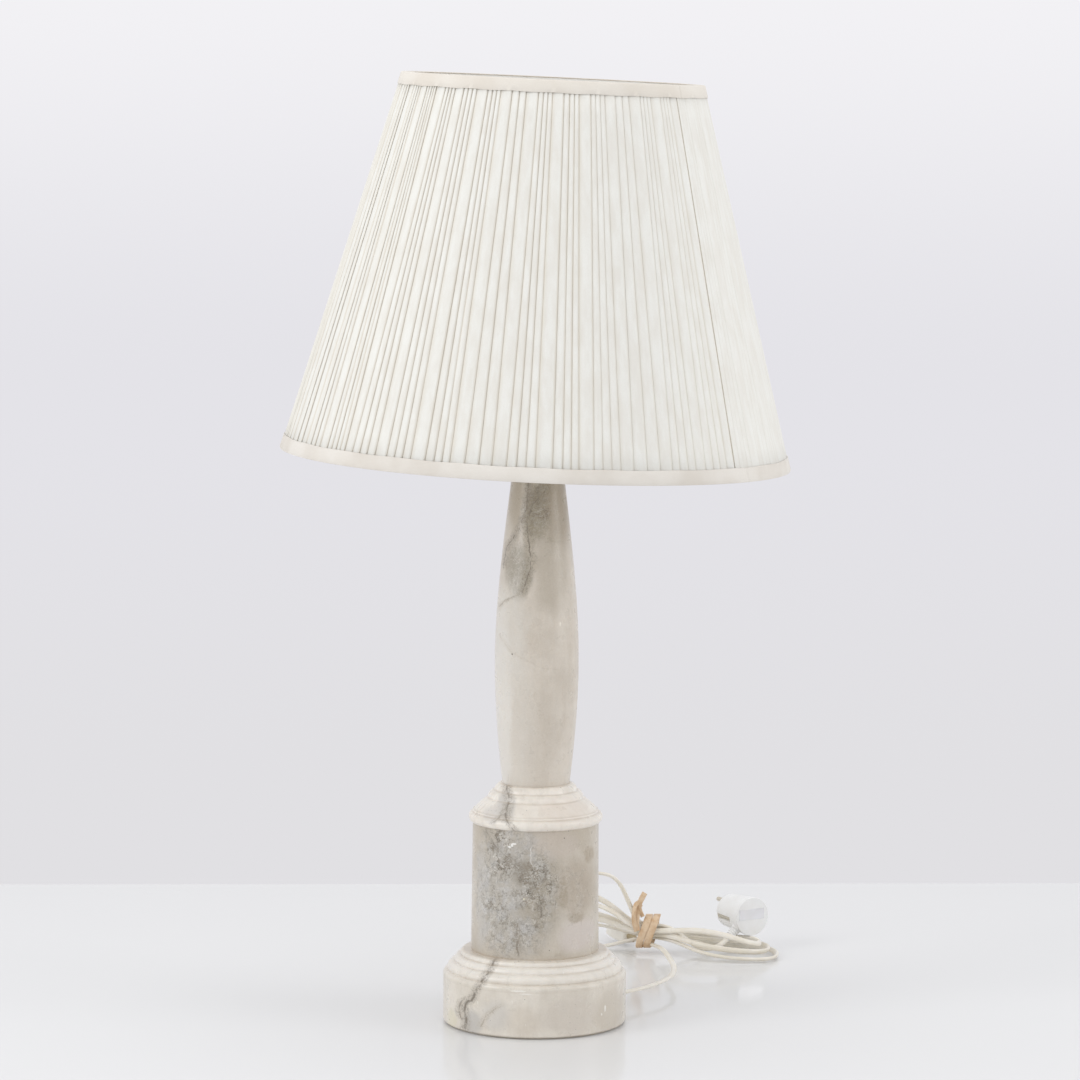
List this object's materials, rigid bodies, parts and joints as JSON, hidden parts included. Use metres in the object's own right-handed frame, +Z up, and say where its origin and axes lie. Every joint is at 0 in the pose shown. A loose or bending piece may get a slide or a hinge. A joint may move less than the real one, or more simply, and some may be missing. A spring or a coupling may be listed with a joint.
{
  "type": "column table lamp",
  "caption": "Table lamp with a turned alabaster column base, a pleated cone shade on a harp, and a flat flex with in-line switch, tied hank and plug.",
  "frame": {"origin": "centre of the felt disc under the foot, on the table", "axes": "+Z up along the column, -Y to the front, +X to the right as seen from the front; the flex leaves at the back right"},
  "size_m": [0.5127, 0.6878, 0.9387],
  "materials": {
    "alabaster": "satin polished alabaster",
    "felt": "wool felt",
    "steel": "zinc plated steel",
    "brass": "turned brass",
    "bush": "moulded plastic bush",
    "flex": "cream PVC flat flex",
    "tie": "tan strip",
    "switch": "moulded thermoplastic",
    "relief": "ribbed rubber",
    "plug": "moulded thermoplastic",
    "plug_metal": "nickel plated brass",
    "foil": "plain silver foil, blank",
    "holder": "thermoplastic lampholder",
    "porcelain": "glazed porcelain",
    "bulb_metal": "aluminium screw cap",
    "bulb_glass": "frosted glass",
    "harp": "brass plated wire",
    "frame_wire": "white powder coated wire",
    "lining": "white styrene lining",
    "cover": "pleated off-white polyester",
    "trim": "cream tape"
  },
  "bodies": {
    "lamp": {"foot": "alabaster", "drum": "alabaster", "cap_moulding": "alabaster", "column": "alabaster", "base_felt": "felt", "threaded_rod": "steel", "bottom_washer": "steel", "bottom_nut": "steel", "neck_nut": "brass", "neck_cap": "brass", "cord_bush": "bush", "inner_cord": "flex", "harp_saddle": "brass", "lampholder_base": "holder", "lampholder_shell": "holder", "lampholder_insert": "porcelain", "lampholder_contacts": "brass", "cord_lead": "flex", "cord_hank": "flex", "cord_tie": "tie", "switch_base": "switch", "switch_cover": "switch", "switch_reliefs": "relief", "switch_screws": "steel", "plug_body": "plug", "plug_pins": "plug_metal", "plug_earth_clips": "plug_metal", "plug_relief": "plug", "plug_foil": "foil"},
    "bulb": {"bulb_cap": "bulb_metal", "bulb_glass": "bulb_glass"},
    "harp": {"harp_wire": "harp", "harp_stud": "brass"},
    "ferrule_left": {"harp_ferrule_left": "brass"},
    "ferrule_right": {"harp_ferrule_right": "brass"},
    "shade_seat": {"shade_washer": "brass"},
    "shade": {"shade_spider": "frame_wire", "shade_bottom_ring": "frame_wire", "shade_lining": "lining", "pleated_cover": "cover", "top_trim": "trim", "bottom_trim": "trim"},
    "nut": {"shade_nut": "brass"},
    "rocker": {"switch_rocker": "switch"}
  },
  "joints": [
    {"name": "harp_lift", "type": "slide", "parent": "lamp", "child": "harp", "axis": [0.0401, 0, 0.9992], "range_m": [0, 0.016]},
    {"name": "ferrule_left_slide", "type": "slide", "parent": "harp", "child": "ferrule_left", "axis": [0.0401, 0, 0.9992], "range_m": [0, 0.012]},
    {"name": "ferrule_right_slide", "type": "slide", "parent": "harp", "child": "ferrule_right", "axis": [0.0401, 0, 0.9992], "range_m": [0, 0.012]},
    {"name": "shade_lift", "type": "slide", "parent": "harp", "child": "shade_seat", "axis": [0.0401, 0, 0.9992], "range_m": [0, 0.05]},
    {"name": "shade_turn", "type": "hinge", "parent": "shade_seat", "child": "shade", "pos_m": [0.01076, 0, 0.89878], "axis": [0.0401, 0, 0.9992], "continuous": true},
    {"name": "nut_turn", "type": "hinge", "parent": "shade_seat", "child": "nut", "pos_m": [0.01092, 0, 0.90278], "axis": [0.0401, 0, 0.9992], "continuous": true},
    {"name": "bulb_turn", "type": "hinge", "parent": "lamp", "child": "bulb", "pos_m": [0, 0, 0.66], "axis": [0, 0, 1], "continuous": true},
    {"name": "rocker_tip", "type": "hinge", "parent": "lamp", "child": "rocker", "pos_m": [0.09342, 0.38253, 0.01956], "axis": [0.9191, 0.3939, 0], "range_deg": [0, 12]}
  ]
}
